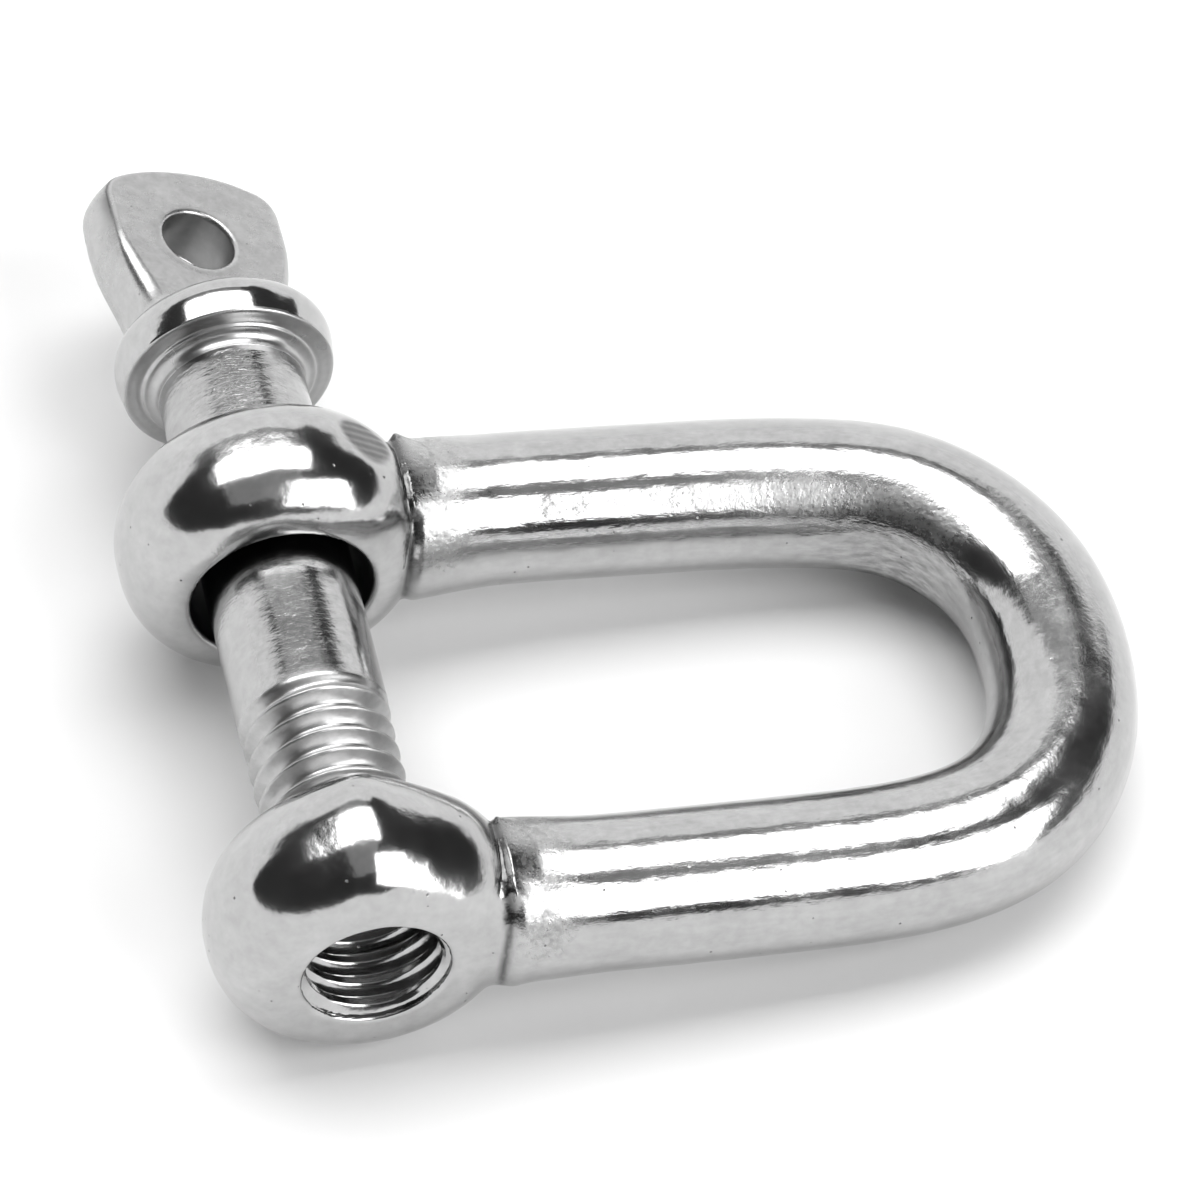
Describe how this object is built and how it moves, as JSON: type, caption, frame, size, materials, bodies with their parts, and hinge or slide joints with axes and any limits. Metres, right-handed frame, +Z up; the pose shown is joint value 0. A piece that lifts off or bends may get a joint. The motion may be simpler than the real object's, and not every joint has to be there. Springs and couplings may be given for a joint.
{
  "type": "screw pin shackle",
  "caption": "D-shaped shackle of round bar with a collared screw pin through its eyes; the pin's flat head is drilled and the pin is partly unscrewed.",
  "frame": {"origin": "on the pin's axis, midway between the two eyes", "axes": "+Y along the pin towards its head, +X from the pin towards the crown of the bow, +Z up from the surface the shackle lies on"},
  "size_m": [0.039, 0.0405, 0.0122],
  "materials": {
    "body_steel": "polished stainless steel, cast and tumbled, with fine pits and grinding marks",
    "pin_steel": "satin stainless steel on the shank and head, polished on the collar's rim"
  },
  "bodies": {
    "shackle_body": {"shackle_body": "body_steel"},
    "pin_collar": {"pin_collar": "pin_steel"},
    "screw_pin": {"screw_pin": "pin_steel"}
  },
  "joints": [
    {"name": "pin_travel", "type": "slide", "parent": "shackle_body", "child": "pin_collar", "axis": [0, 1, 0], "range_m": [-0.00519, 0.024]},
    {"name": "pin_turn", "type": "hinge", "parent": "pin_collar", "child": "screw_pin", "pos_m": [0, 0, 0], "axis": [0, 1, 0], "range_deg": [-1869, 8641]}
  ],
  "couplings": [
    {"joint": "pin_turn", "follows": "pin_travel", "rad_per_m": 6283.2}
  ]
}
